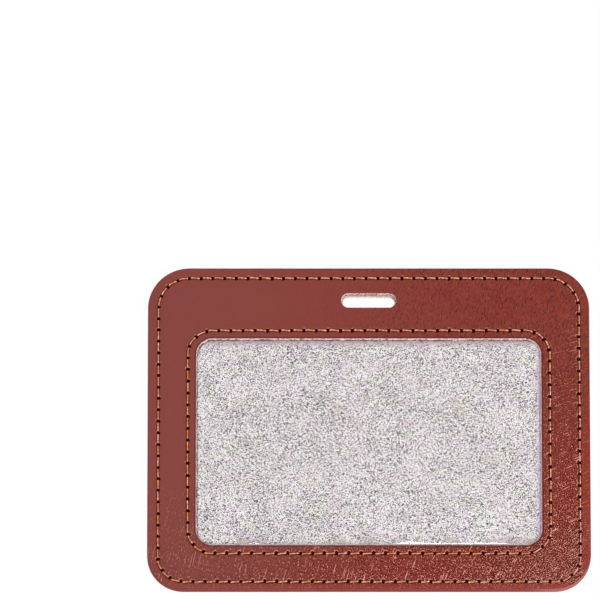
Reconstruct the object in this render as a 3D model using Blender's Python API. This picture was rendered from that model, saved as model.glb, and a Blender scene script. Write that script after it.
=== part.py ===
"""Landscape badge holder in imitation leather, lying flat on its back.

Metres, +Z up. X runs along the width, +Y points to the lanyard slot and the front face looks
along +Z. The origin is in the middle of the rear face, where the holder rests.

The holder is a stack of die-cut sheets held by two lockstitch seams. From the rear: back leather,
white lining, stiffening board with the card pocket cut out of it, clear film, front leather.
The inner seam sews the film to the front leather. The outer seam closes the whole stack.
A card goes in through a slit in the back, above the pocket.
"""

import math

import bmesh
import bpy
from mathutils import Matrix

MM = 0.001

# The card, and the room that it has in the pocket
CARD_W = 85.6 * MM
CARD_H = 53.98 * MM
CARD_T = 0.76 * MM
CARD_CLEAR = 0.4 * MM  # from the card's edge to the thread of the inner seam
CARD_SLIDE = 0.1 * MM  # over the card's thickness

# Leather left beside and below the window, and the outer corners
SIDE_BAND = 11.6 * MM
BOTTOM_BAND = 10.75 * MM
TOP_CORNER_R = 10.0 * MM
BOTTOM_CORNER_R = 8.7 * MM
WINDOW_CORNER_R = 4.0 * MM
POCKET_CORNER_R = 2.0 * MM

# Sheets, from the rear to the front. The stiffener's thickness follows the card
REAR_LEATHER_T = 0.7 * MM
LINING_T = 0.15 * MM
FILM_T = 0.15 * MM
FRONT_LEATHER_T = 1.1 * MM
SHEET_GAP = 0.05 * MM  # between sheets that are pressed on each other
LEATHER_EDGE_R = 0.25 * MM  # rounding of the cut edges of the leather

# Thread. It is round where the needle lays it and flattened on the bobbin side
THREAD_D = 0.5 * MM
BOBBIN_THREAD_T = 0.22 * MM
THREAD_CLEAR = 0.05 * MM

# Seams. The leather is drawn in along them to a valley that the thread lies in
OUTER_SEAM_INSET = 2.5 * MM
BOTTOM_SEAM_INSET = 1.75 * MM  # the outer seam runs closer to the bottom edge
INNER_SEAM_OFFSET = 2.05 * MM
OUTER_STITCH = 2.83 * MM
INNER_STITCH = 2.92 * MM
OUTER_FIRST_HOLE = 1.7 * MM  # along the seam, from the start of its lower right corner
INNER_FIRST_HOLE = 1.5 * MM
STITCH_SLANT = 0.2 * MM  # how far a stitch leans to the side at its ends
VALLEY_R = 0.55 * MM
FRONT_VALLEY_DEPTH = 0.5 * MM
THREAD_RISE = 0.22 * MM  # how far the thread climbs from a needle hole to the middle of a stitch
BOBBIN_RISE = 0.06 * MM

# Lanyard slot
SLOT_L = 13.3 * MM
SLOT_W = 3.6 * MM
SLOT_FROM_TOP = 8.1 * MM
SLOT_WEB = 2.55 * MM  # of stiffener, from the slot down to the pocket

# Slit for the card, with a round punched relief at each end
SLIT_W = 1.2 * MM
SLIT_END_R = 1.1 * MM
SLIT_END_CLEAR = 0.8 * MM  # beside the card
SLIT_ABOVE_SEAM = 1.2 * MM
POCKET_CLEAR = 0.15 * MM  # from the stiffener to the thread, and to the slit

# Sizes that follow
SEAM_W = CARD_W + 2 * CARD_CLEAR + THREAD_D
SEAM_H = CARD_H + 2 * CARD_CLEAR + THREAD_D
WINDOW_W = SEAM_W - 2 * INNER_SEAM_OFFSET
WINDOW_H = SEAM_H - 2 * INNER_SEAM_OFFSET
POCKET_RISE = INNER_SEAM_OFFSET + SLIT_ABOVE_SEAM + SLIT_W / 2 + SLIT_END_R + POCKET_CLEAR
TOP_BAND = SLOT_FROM_TOP + SLOT_W / 2 + SLOT_WEB + POCKET_RISE
HOLDER_W = WINDOW_W + 2 * SIDE_BAND
HOLDER_H = BOTTOM_BAND + WINDOW_H + TOP_BAND

BOTTOM_Y = -HOLDER_H / 2
TOP_Y = HOLDER_H / 2
WINDOW_BOTTOM_Y = BOTTOM_Y + BOTTOM_BAND
WINDOW_TOP_Y = TOP_Y - TOP_BAND
SEAM_TOP_Y = WINDOW_TOP_Y + INNER_SEAM_OFFSET
SEAM_BOTTOM_Y = WINDOW_BOTTOM_Y - INNER_SEAM_OFFSET
SLOT_Y = TOP_Y - SLOT_FROM_TOP
SLIT_Y = SEAM_TOP_Y + SLIT_ABOVE_SEAM + SLIT_W / 2
SLIT_L = CARD_W + 2 * SLIT_END_CLEAR
POCKET_MARGIN = THREAD_D / 2 + POCKET_CLEAR

POCKET_DEPTH = CARD_T + CARD_SLIDE + BOBBIN_THREAD_T + THREAD_CLEAR
STIFFENER_T = POCKET_DEPTH - 2 * SHEET_GAP
LINING_Z = REAR_LEATHER_T + SHEET_GAP
STIFFENER_Z = LINING_Z + LINING_T + SHEET_GAP
FILM_Z = STIFFENER_Z + STIFFENER_T + SHEET_GAP
FRONT_Z = FILM_Z + FILM_T + SHEET_GAP
FACE_Z = FRONT_Z + FRONT_LEATHER_T

REAR_VALLEY_DEPTH = BOBBIN_THREAD_T + BOBBIN_RISE + 2 * THREAD_CLEAR

# Fineness of the mesh
CORNER_STEPS = 9
SMALL_ARC_STEPS = 8
EDGE_STEPS = 1
NEEDLE_POINTS = 4  # for each stitch
BOBBIN_POINTS = 2
HIDDEN_POINTS = 1
WELD = 0.001 * MM

SMOOTH_ANGLE = math.radians(40)


class RoundedRect:
    """A rectangle centred on x = 0, with one radius for its bottom corners and one for its top corners."""

    def __init__(self, width, bottom, top, bottom_r, top_r):
        self.half = width / 2
        self.bottom, self.top = bottom, top
        self.bottom_r, self.top_r = bottom_r, top_r

    def grown(self, margin):
        return RoundedRect(2 * (self.half + margin), self.bottom - margin, self.top + margin,
                           self.bottom_r + margin, self.top_r + margin)

    def lowered(self, drop):
        """The same shape with only its bottom edge and bottom corners moved down."""
        return RoundedRect(2 * self.half, self.bottom - drop, self.top, self.bottom_r, self.top_r)

    def corners(self):
        """Centre, radius and first angle of each corner arc, counter-clockwise from the bottom right."""
        low, high = self.bottom + self.bottom_r, self.top - self.top_r
        wide, narrow = self.half - self.bottom_r, self.half - self.top_r
        return [
            (wide, low, self.bottom_r, -math.pi / 2),
            (narrow, high, self.top_r, 0.0),
            (-narrow, high, self.top_r, math.pi / 2),
            (-wide, low, self.bottom_r, math.pi),
        ]

    def outline(self, steps):
        points = []
        for x, y, radius, first in self.corners():
            for step in range(steps + 1):
                angle = first + math.pi / 2 * step / steps
                points.append((x + radius * math.cos(angle), y + radius * math.sin(angle)))
        return without_repeats(points)

    def runs(self):
        """Each corner arc, and the straight that follows it: (kind, length, data)."""
        found = []
        corners = self.corners()
        for index, (x, y, radius, first) in enumerate(corners):
            found.append(("arc", radius * math.pi / 2, (x, y, radius, first)))
            last = first + math.pi / 2
            start = (x + radius * math.cos(last), y + radius * math.sin(last))
            nx, ny, nr, nfirst = corners[(index + 1) % len(corners)]
            end = (nx + nr * math.cos(nfirst), ny + nr * math.sin(nfirst))
            found.append(("line", math.dist(start, end), (start, end, last)))
        return found

    def length(self):
        return sum(run[1] for run in self.runs())

    def at(self, distance):
        """The point that lies this far along the loop, and the angle of its outward normal."""
        for kind, length, data in self.runs():
            if distance <= length:
                break
            distance -= length
        if kind == "arc":
            x, y, radius, first = data
            angle = first + distance / radius
            return x + radius * math.cos(angle), y + radius * math.sin(angle), angle
        (x0, y0), (x1, y1), angle = data
        share = min(distance / length, 1.0)
        return x0 + (x1 - x0) * share, y0 + (y1 - y0) * share, angle


def without_repeats(points):
    kept = []
    for point in points:
        if not kept or math.dist(point, kept[-1]) > WELD:
            kept.append(point)
    if math.dist(kept[0], kept[-1]) <= WELD:
        kept.pop()
    return kept


class Seam:
    """A lockstitch seam that runs once round its loop, in stitches of nearly the wanted length."""

    def __init__(self, loop, stitch, first_hole):
        self.loop, self.first_hole = loop, first_hole
        self.length = loop.length()
        self.stitches = round(self.length / stitch)

    def path(self, points_each, low_z, rise, slant):
        """Centre line of a thread: low at each needle hole, level and a little slanted between them."""
        count = self.stitches * points_each
        points = []
        for index in range(count):
            x, y, angle = self.loop.at((self.first_hole + self.length * index / count) % self.length)
            phase = index % points_each / points_each
            side = 0.0 if phase == 0.0 else slant * (1.0 - 2.0 * phase)
            z = low_z if phase == 0.0 else low_z + rise
            points.append((x + side * math.cos(angle), y + side * math.sin(angle), z))
        return points


HOLDER = RoundedRect(HOLDER_W, BOTTOM_Y, TOP_Y, BOTTOM_CORNER_R, TOP_CORNER_R)
WINDOW = RoundedRect(WINDOW_W, WINDOW_BOTTOM_Y, WINDOW_TOP_Y, WINDOW_CORNER_R, WINDOW_CORNER_R)
SLOT = RoundedRect(SLOT_L, SLOT_Y - SLOT_W / 2, SLOT_Y + SLOT_W / 2, SLOT_W / 2, SLOT_W / 2)
OUTER_LOOP = HOLDER.grown(-OUTER_SEAM_INSET).lowered(OUTER_SEAM_INSET - BOTTOM_SEAM_INSET)
OUTER_SEAM = Seam(OUTER_LOOP, OUTER_STITCH, OUTER_FIRST_HOLE)
INNER_SEAM = Seam(WINDOW.grown(INNER_SEAM_OFFSET), INNER_STITCH, INNER_FIRST_HOLE)
POCKET = RoundedRect(SEAM_W + 2 * POCKET_MARGIN, SEAM_BOTTOM_Y - POCKET_MARGIN,
                     WINDOW_TOP_Y + POCKET_RISE, POCKET_CORNER_R, POCKET_CORNER_R)


def slit_outline():
    """A long slit whose ends open into round punched holes."""
    mouth = math.asin(min(SLIT_W / 2 / SLIT_END_R, 1.0))
    sweep = math.pi - mouth
    reach = SLIT_L / 2 - SLIT_END_R
    points = []
    for centre, facing in ((reach, 0.0), (-reach, math.pi)):
        for step in range(2 * SMALL_ARC_STEPS + 1):
            angle = facing - sweep + 2 * sweep * step / (2 * SMALL_ARC_STEPS)
            points.append((centre + SLIT_END_R * math.cos(angle), SLIT_Y + SLIT_END_R * math.sin(angle)))
    return points


def clear_scene():
    for thing in list(bpy.data.objects):
        bpy.data.objects.remove(thing, do_unlink=True)


def new_collection(name):
    made = bpy.data.collections.new(name)
    bpy.context.scene.collection.children.link(made)
    return made


def material(name, colour, roughness, alpha=1.0):
    made = bpy.data.materials.new(name)
    made.use_nodes = True
    shader = made.node_tree.nodes["Principled BSDF"]
    shader.inputs["Base Color"].default_value = (*colour, 1.0)
    shader.inputs["Roughness"].default_value = roughness
    shader.inputs["Metallic"].default_value = 0.0
    shader.inputs["Alpha"].default_value = alpha
    return made


def poly_spline(curve, points):
    spline = curve.splines.new("POLY")
    spline.points.add(len(points) - 1)
    for slot, point in zip(spline.points, points):
        x, y, *rest = point
        slot.co = (x, y, rest[0] if rest else 0.0, 1.0)
    spline.use_cyclic_u = True


def mesh_from_curve(curve, name, collection):
    """The curve's evaluated shape as a welded mesh object. The curve itself is removed."""
    source = bpy.data.objects.new(name + "_curve", curve)
    collection.objects.link(source)
    bpy.context.view_layer.update()
    graph = bpy.context.evaluated_depsgraph_get()
    mesh = bpy.data.meshes.new_from_object(source.evaluated_get(graph))
    shape = bmesh.new()
    shape.from_mesh(mesh)
    bmesh.ops.remove_doubles(shape, verts=shape.verts, dist=WELD)
    bmesh.ops.recalc_face_normals(shape, faces=shape.faces)
    shape.to_mesh(mesh)
    shape.free()
    made = bpy.data.objects.new(name, mesh)
    made.matrix_world = source.matrix_world.copy()
    collection.objects.link(made)
    bpy.data.objects.remove(source, do_unlink=True)
    bpy.data.curves.remove(curve)
    return made


def finish(made, surface):
    made.data.materials.clear()
    made.data.materials.append(surface)
    made.data.shade_smooth()
    made.data.set_sharp_from_angle(angle=SMOOTH_ANGLE)
    return made


def sheet(name, loops, rear_z, thickness, collection, edge_r=0.0):
    """A flat die-cut sheet: the first loop is its outline, the others are holes."""
    curve = bpy.data.curves.new(name, "CURVE")
    curve.dimensions = "2D"
    curve.fill_mode = "BOTH"
    for loop in loops:
        poly_spline(curve, loop)
    rounding = min(edge_r, thickness / 2 - WELD)
    curve.extrude = thickness / 2 - rounding
    curve.bevel_depth = rounding
    curve.bevel_resolution = EDGE_STEPS
    curve.offset = -rounding
    made = mesh_from_curve(curve, name, collection)
    made.data.transform(Matrix.Translation((0, 0, rear_z + thickness / 2)))
    return made


def swept_loop(name, points, radius, sides_level, collection, flatness=1.0):
    """A closed tube along the points. flatness squeezes its section in Z."""
    curve = bpy.data.curves.new(name, "CURVE")
    curve.dimensions = "3D"
    curve.twist_mode = "Z_UP"
    poly_spline(curve, [(x, y, z / flatness) for x, y, z in points])
    curve.bevel_depth = radius
    curve.bevel_resolution = sides_level
    made = mesh_from_curve(curve, name, collection)
    made.data.transform(Matrix.Scale(flatness, 4, (0, 0, 1)))
    return made


def cut_valley(panel, seam, face_z, depth, outward, cutters):
    """Presses the seam's valley into the leather. outward is +1 for its front face and -1 for its rear."""
    centre_z = face_z + outward * (VALLEY_R - depth)
    points = [(x, y, centre_z) for x, y in seam.loop.outline(CORNER_STEPS)]
    cutter = swept_loop(panel.name + "_valley", points, VALLEY_R, 2, cutters)
    cutter.hide_render = True
    cutter.display_type = "WIRE"
    cut = panel.modifiers.new("seam valley", "BOOLEAN")
    cut.operation = "DIFFERENCE"
    cut.solver = "EXACT"
    cut.object = cutter


def even_shading(panel):
    """Large flat faces keep their own normal beside the small ones of the valleys and edges."""
    panel.modifiers.new("even shading", "WEIGHTED_NORMAL")


def rear_panel(parts, cutters, leather):
    loops = [HOLDER.outline(CORNER_STEPS), SLOT.outline(SMALL_ARC_STEPS), slit_outline()]
    made = sheet("rear_panel", loops, 0.0, REAR_LEATHER_T, parts, LEATHER_EDGE_R)
    cut_valley(made, OUTER_SEAM, 0.0, REAR_VALLEY_DEPTH, -1, cutters)
    even_shading(made)
    return finish(made, leather)


def pocket_lining(parts, cloth):
    loops = [HOLDER.outline(CORNER_STEPS), SLOT.outline(SMALL_ARC_STEPS), slit_outline()]
    return finish(sheet("pocket_lining", loops, LINING_Z, LINING_T, parts), cloth)


def stiffener_frame(parts, board):
    loops = [HOLDER.outline(CORNER_STEPS), SLOT.outline(SMALL_ARC_STEPS), POCKET.outline(SMALL_ARC_STEPS)]
    return finish(sheet("stiffener_frame", loops, STIFFENER_Z, STIFFENER_T, parts), board)


def window_film(parts, film):
    loops = [HOLDER.outline(CORNER_STEPS), SLOT.outline(SMALL_ARC_STEPS)]
    return finish(sheet("window_film", loops, FILM_Z, FILM_T, parts), film)


def front_panel(parts, cutters, leather):
    loops = [HOLDER.outline(CORNER_STEPS), SLOT.outline(SMALL_ARC_STEPS), WINDOW.outline(CORNER_STEPS)]
    made = sheet("front_panel", loops, FRONT_Z, FRONT_LEATHER_T, parts, LEATHER_EDGE_R)
    for seam in (OUTER_SEAM, INNER_SEAM):
        cut_valley(made, seam, FACE_Z, FRONT_VALLEY_DEPTH, 1, cutters)
    even_shading(made)
    return finish(made, leather)


def needle_thread(name, seam, parts, yarn):
    """The thread on the front: it sinks into each needle hole and stands proud between them."""
    low_z = FACE_Z - FRONT_VALLEY_DEPTH + THREAD_CLEAR + THREAD_D / 2
    path = seam.path(NEEDLE_POINTS, low_z, THREAD_RISE, STITCH_SLANT)
    return finish(swept_loop(name, path, THREAD_D / 2, 0, parts), yarn)


def bobbin_thread(name, seam, points_each, low_z, rise, parts, yarn):
    path = seam.path(points_each, low_z, rise, 0.0)
    flatness = BOBBIN_THREAD_T / THREAD_D
    return finish(swept_loop(name, path, THREAD_D / 2, 0, parts, flatness), yarn)


def build():
    clear_scene()
    parts = new_collection("badge_holder")
    cutters = new_collection("cutters")
    leather = material("brown_leather", (0.246, 0.055, 0.041), 0.55)
    rear_leather = material("brown_leather_rear", (0.246, 0.055, 0.041), 0.6)
    cloth = material("white_nonwoven", (0.70, 0.68, 0.69), 0.95)
    board = material("grey_board", (0.38, 0.34, 0.30), 0.9)
    film = material("clear_film", (0.95, 0.96, 0.97), 0.08, alpha=0.35)
    yarn = material("orange_brown_thread", (0.50, 0.20, 0.09), 0.6)

    rear_panel(parts, cutters, rear_leather)
    pocket_lining(parts, cloth)
    stiffener_frame(parts, board)
    window_film(parts, film)
    front_panel(parts, cutters, leather)
    needle_thread("outer_needle_thread", OUTER_SEAM, parts, yarn)
    needle_thread("inner_needle_thread", INNER_SEAM, parts, yarn)
    rear_low = REAR_VALLEY_DEPTH - THREAD_CLEAR - BOBBIN_THREAD_T / 2
    bobbin_thread("outer_bobbin_thread", OUTER_SEAM, BOBBIN_POINTS, rear_low, -BOBBIN_RISE, parts, yarn)
    inner_z = FILM_Z - THREAD_CLEAR - BOBBIN_THREAD_T / 2
    bobbin_thread("inner_bobbin_thread", INNER_SEAM, HIDDEN_POINTS, inner_z, 0.0, parts, yarn)


build()
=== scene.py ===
"""Looks of the landscape badge holder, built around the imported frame.

Metres, +Z up. The holder lies on its back: its front face looks along +Z and +Y points to the slot.
"""

import math

import bmesh
import bpy
import numpy as np
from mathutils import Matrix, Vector, geometry, noise

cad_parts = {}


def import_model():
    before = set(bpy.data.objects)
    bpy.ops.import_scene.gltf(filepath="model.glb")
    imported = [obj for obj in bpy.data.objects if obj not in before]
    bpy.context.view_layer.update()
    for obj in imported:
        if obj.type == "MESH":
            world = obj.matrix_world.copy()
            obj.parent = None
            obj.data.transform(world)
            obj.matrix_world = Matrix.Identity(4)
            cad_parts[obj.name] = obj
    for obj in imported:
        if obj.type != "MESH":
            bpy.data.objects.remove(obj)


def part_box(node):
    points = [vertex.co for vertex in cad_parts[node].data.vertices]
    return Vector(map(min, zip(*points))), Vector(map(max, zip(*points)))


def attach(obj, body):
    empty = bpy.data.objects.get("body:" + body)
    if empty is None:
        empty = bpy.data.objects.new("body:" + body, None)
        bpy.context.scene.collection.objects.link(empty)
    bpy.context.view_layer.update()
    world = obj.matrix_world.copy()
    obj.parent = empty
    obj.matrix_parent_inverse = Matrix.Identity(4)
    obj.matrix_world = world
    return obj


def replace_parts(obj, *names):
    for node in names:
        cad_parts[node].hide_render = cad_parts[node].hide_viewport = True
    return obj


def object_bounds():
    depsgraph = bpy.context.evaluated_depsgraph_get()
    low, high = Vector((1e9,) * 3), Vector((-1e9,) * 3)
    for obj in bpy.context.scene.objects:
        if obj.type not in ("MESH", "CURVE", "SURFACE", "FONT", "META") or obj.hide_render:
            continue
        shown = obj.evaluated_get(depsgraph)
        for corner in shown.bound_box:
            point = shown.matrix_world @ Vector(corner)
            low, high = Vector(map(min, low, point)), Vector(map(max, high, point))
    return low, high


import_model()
cad_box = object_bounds()

MM = 0.001

# Levels of the sheets, from the frame
REAR_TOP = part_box("rear_panel")[1].z
LINING_LOW, LINING_TOP = (corner.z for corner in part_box("pocket_lining"))
BOARD_LOW, BOARD_TOP = (corner.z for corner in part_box("stiffener_frame"))
FILM_LOW, FILM_TOP = (corner.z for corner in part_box("window_film"))
FRONT_LOW, FACE = (corner.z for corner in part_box("front_panel"))
PANEL_LOW, PANEL_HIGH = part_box("front_panel")

# Outlines, with the sizes of the CAD model
TOP_CORNER_R = 10.0 * MM
BOTTOM_CORNER_R = 8.7 * MM
WINDOW_CORNER_R = 4.0 * MM
POCKET_CORNER_R = 2.0 * MM
SIDE_BAND = 11.6 * MM
BOTTOM_BAND = 10.75 * MM
TOP_BAND = 17.55 * MM
OUTER_SEAM_INSET = 2.5 * MM
BOTTOM_SEAM_INSET = 1.75 * MM
INNER_SEAM_OFFSET = 2.05 * MM
OUTER_STITCHES = 120
INNER_STITCHES = 94
OUTER_FIRST_HOLE = 1.7 * MM
INNER_FIRST_HOLE = 1.5 * MM
SLOT_L = 13.3 * MM
SLOT_W = 3.6 * MM
SLOT_FROM_TOP = 8.1 * MM
SLIT_L = 87.2 * MM
SLIT_W = 1.2 * MM
SLIT_END_R = 1.1 * MM
SLIT_ABOVE_SEAM = 1.2 * MM
POCKET_MARGIN = 0.4 * MM
POCKET_RISE = 5.1 * MM

# Leather: cut edges
PAINT_T = 0.1 * MM
FACE_EDGE_R = 0.38 * MM
REAR_EDGE_R = 0.2 * MM
CUT_EDGE_R = 0.16 * MM
WINDOW_RAKE = 0.26 * MM
SLOT_RAKE = 0.28 * MM
REAR_SLOT_RAKE = 0.4 * MM
COLLAR = 0.7 * MM  # flat ring of fine mesh round a cut-out
FUZZ = 0.09 * MM

# Leather: seam valleys, needle holes and soft relief
VALLEY_DEPTH = 0.34 * MM
VALLEY_W = 0.29 * MM
SHOULDER_RISE = 0.006 * MM
SHOULDER_AT = 0.95 * MM
SHOULDER_W = 0.35 * MM
HOLE_DEPTH = 0.9 * MM
HOLE_LONG = 0.46 * MM
HOLE_SHORT = 0.39 * MM
HOLE_SIZES = (0.88, 1.12)  # shares of the full size
HOLE_RIM, HOLE_FALL = 1.17, 0.4  # where a hole's side begins and how wide it is, against its half size
HOLE_INSET = 0.13 * MM  # the needle went in a little inside the line that the thread keeps to
LIP_RISE, LIP_AT, LIP_W = 0.15 * MM, 1.22, 0.19
LIP_EAST, LIP_NORTH = -0.3, 0.95  # the lip stands at the upper left of its hole
REAR_PRESS = 0.8  # depth of the rear's valley and holes against the front's
SWELL_RISE = 0.015 * MM

# Thread
THREAD_R = 0.18 * MM
BOBBIN_FLATNESS = 0.5
THREAD_TOP = FACE + 0.03 * MM  # middle of a stitch where it lies on the face
BOBBIN_LEVEL = 0.17 * MM  # the same at the back
PLIES = 3
TURNS = 2.4
STITCH_SLANT = 0.12 * MM
RISE_AT, RISE_SPAN = 0.09, 0.13  # shares of a stitch over which it comes up out of its hole
THREAD_SHIFT = np.array([0.05, -0.03]) * MM  # from the holes' line to the middle of a stitch
HOLE_JITTER = 0.09 * MM
SIDE_JITTER = 0.05 * MM

# Lining and film
LINING_PUFF = 0.72 * MM  # the soft cloth swells into the empty pocket
FIBRES = 3400
FIBRE_R = 0.035 * MM
SHEET_GRID = 0.35 * MM
FINE_GRID = 0.14 * MM  # between the film's rows along the window's lower edge
FILM_RISE = 0.3 * MM
FILM_IOR = 1.42
LIT_SLOPE = 0.346  # the film shows the strip light to the viewer where it has this slope

# Mesh of the leather. Columns cross a seam and rows run along it
COLUMN_STEPS = np.array([0, 0.1, 0.2, 0.31, 0.43, 0.57, 0.85]) * MM
SEAM_ROWS = np.array([-1.15, -0.9, -0.72, -0.58, -0.46, -0.36, -0.26, -0.17, -0.08, 0,
                      0.09, 0.18, 0.28, 0.38, 0.48, 0.62, 0.85, 1.15]) * MM
FACE_GRID = 0.6 * MM
SHEET_COUNTS = (16, 24, 36)  # points on each arc, upright and level side of a plain outline
SLOT_COUNTS = (24, 0, 60)
POCKET_COUNTS = (8, 24, 36)
WELD = 0.002 * MM

FACE_SLOT, CUT_SLOT = 0, 1  # material slots of the leather

# Studio
AMBIENT = 0.55
FLOOR_GLOW = 0.96
SOFTBOXES = (("key", (0.30, -0.38, 0.60), (0.30, 0.30), 2.95),  # place, size and power
             ("strip", (0.10, -0.33, 0.72), (0.50, 0.045), 1.5),
             ("fill", (-0.45, 0.35, 0.70), (0.6, 0.6), 1.2))
CAMERA_TILT = math.radians(74.5)
CAMERA_DISTANCE = 2.5
PICTURE_WIDTH = 143.75 * MM
SENSOR_WIDTH = 36.0
AIM_X, AIM_UP = -16.48 * MM, 30.98 * MM  # from the holder's middle to the middle of the picture


class RoundedRect:
    """A rectangle centred on x = 0, with one radius for its bottom corners and one for its top ones.

    Its edge has eight runs, counter-clockwise from the lower right: a corner arc, then a straight side.
    """

    def __init__(self, half, bottom, top, bottom_r, top_r):
        self.half, self.bottom, self.top = half, bottom, top
        self.bottom_r, self.top_r = bottom_r, top_r
        upright = top - top_r - bottom - bottom_r
        arcs = math.pi / 2 * np.array([bottom_r, top_r])
        self.lengths = np.array([arcs[0], upright, arcs[1], 2 * (half - top_r),
                                 arcs[1], upright, arcs[0], 2 * (half - bottom_r)])
        wide, narrow, low, high = half - bottom_r, half - top_r, bottom + bottom_r, top - top_r
        self.centres = np.array([(wide, low), (narrow, high), (-narrow, high), (-wide, low)])
        self.radii = np.array([bottom_r, top_r, top_r, bottom_r])

    def grown(self, margin):
        return RoundedRect(self.half + margin, self.bottom - margin, self.top + margin,
                           self.bottom_r + margin, self.top_r + margin)

    def lowered(self, drop):
        """The same shape with its bottom edge and corners moved down."""
        return RoundedRect(self.half, self.bottom - drop, self.top, self.bottom_r, self.top_r)

    def locate(self, distances):
        """The run that each distance along the edge falls on, and the share of that run before it."""
        starts = np.concatenate([[0.0], np.cumsum(self.lengths)])
        where = np.mod(distances, starts[-1])
        run = np.clip(np.searchsorted(starts, where, side="right") - 1, 0, 7)
        return run, (where - starts[run]) / self.lengths[run]

    def place(self, run, share):
        """x, y, normal x and normal y at these shares of the runs."""
        corner = run // 2
        straight = run % 2 * share
        angle = (corner - 1) * math.pi / 2 + math.pi / 2 * np.where(run % 2, 1.0, share)
        normal = np.stack([np.cos(angle), np.sin(angle)], -1)
        here = self.centres[corner] + self.radii[corner][..., None] * normal
        onward = (corner + 1) % 4
        there = self.centres[onward] + self.radii[onward][..., None] * normal
        return np.concatenate([here + (there - here) * straight[..., None], normal], -1)

    def ring(self, arc, upright, level):
        """Evenly spread x, y, normal x and normal y, with these counts on arcs, upright and level sides."""
        counts = [arc, upright, arc, level] * 2
        run = np.repeat(np.arange(8), counts)
        share = np.concatenate([np.arange(count) / max(count, 1) for count in counts])
        return self.place(run, share)

    def points(self, *counts):
        return self.ring(*counts)[:, :2]

    def depth(self, x, y):
        """How far each point lies inside the edge."""
        middle = (self.bottom + self.top) / 2
        radius = np.where(y < middle, self.bottom_r, self.top_r)
        dx = np.abs(x) - (self.half - radius)
        dy = np.abs(y - middle) - ((self.top - self.bottom) / 2 - radius)
        return radius - np.hypot(np.maximum(dx, 0), np.maximum(dy, 0)) - np.minimum(np.maximum(dx, dy), 0)


HOLDER = RoundedRect(PANEL_HIGH.x, PANEL_LOW.y, PANEL_HIGH.y, BOTTOM_CORNER_R, TOP_CORNER_R)
WINDOW = RoundedRect(PANEL_HIGH.x - SIDE_BAND, PANEL_LOW.y + BOTTOM_BAND, PANEL_HIGH.y - TOP_BAND,
                     WINDOW_CORNER_R, WINDOW_CORNER_R)
SLOT_Y = PANEL_HIGH.y - SLOT_FROM_TOP
SLOT = RoundedRect(SLOT_L / 2, SLOT_Y - SLOT_W / 2, SLOT_Y + SLOT_W / 2, SLOT_W / 2, SLOT_W / 2)
INNER_SLOT = SLOT.grown(-SLOT_RAKE)
SHEET_SLOT = INNER_SLOT.points(10, 0, 16)
LEATHER = HOLDER.grown(-PAINT_T)
POCKET = RoundedRect(WINDOW.half + INNER_SEAM_OFFSET + POCKET_MARGIN,
                     WINDOW.bottom - INNER_SEAM_OFFSET - POCKET_MARGIN, WINDOW.top + POCKET_RISE,
                     POCKET_CORNER_R, POCKET_CORNER_R)
SLIT_Y = WINDOW.top + INNER_SEAM_OFFSET + SLIT_ABOVE_SEAM + SLIT_W / 2


def slit_points(margin=0.0):
    """Outline of the card slit: a long slit whose ends open into round punched holes."""
    width, radius = SLIT_W / 2 + margin, SLIT_END_R + margin
    sweep = math.pi - math.asin(width / radius)
    reach = SLIT_L / 2 - SLIT_END_R
    ends = []
    for centre, facing in ((reach, 0.0), (-reach, math.pi)):
        angle = facing + sweep * np.linspace(-1, 1, 29)
        ends.append(np.stack([centre + radius * np.cos(angle), SLIT_Y + radius * np.sin(angle)], 1))
    return np.vstack(ends)


def slot_points(margin):
    return SLOT.grown(margin).points(*SLOT_COUNTS)


def smooth(share):
    share = np.clip(share, 0.0, 1.0)
    return share * share * (3.0 - 2.0 * share)


def bell(value, width):
    return np.exp(-(value / width) ** 2)


def pattern(x, y, length, width, turn, seed):
    """Smooth noise from -1 to 1 in strokes of this length and width in mm, turned from the X axis."""
    along = (x * math.cos(turn) + y * math.sin(turn)) / (length * MM)
    across = (y * math.cos(turn) - x * math.sin(turn)) / (width * MM)
    values = [noise.noise((a, b, seed)) for a, b in zip(along.ravel(), across.ravel())]
    return np.array(values).reshape(x.shape)


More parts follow.
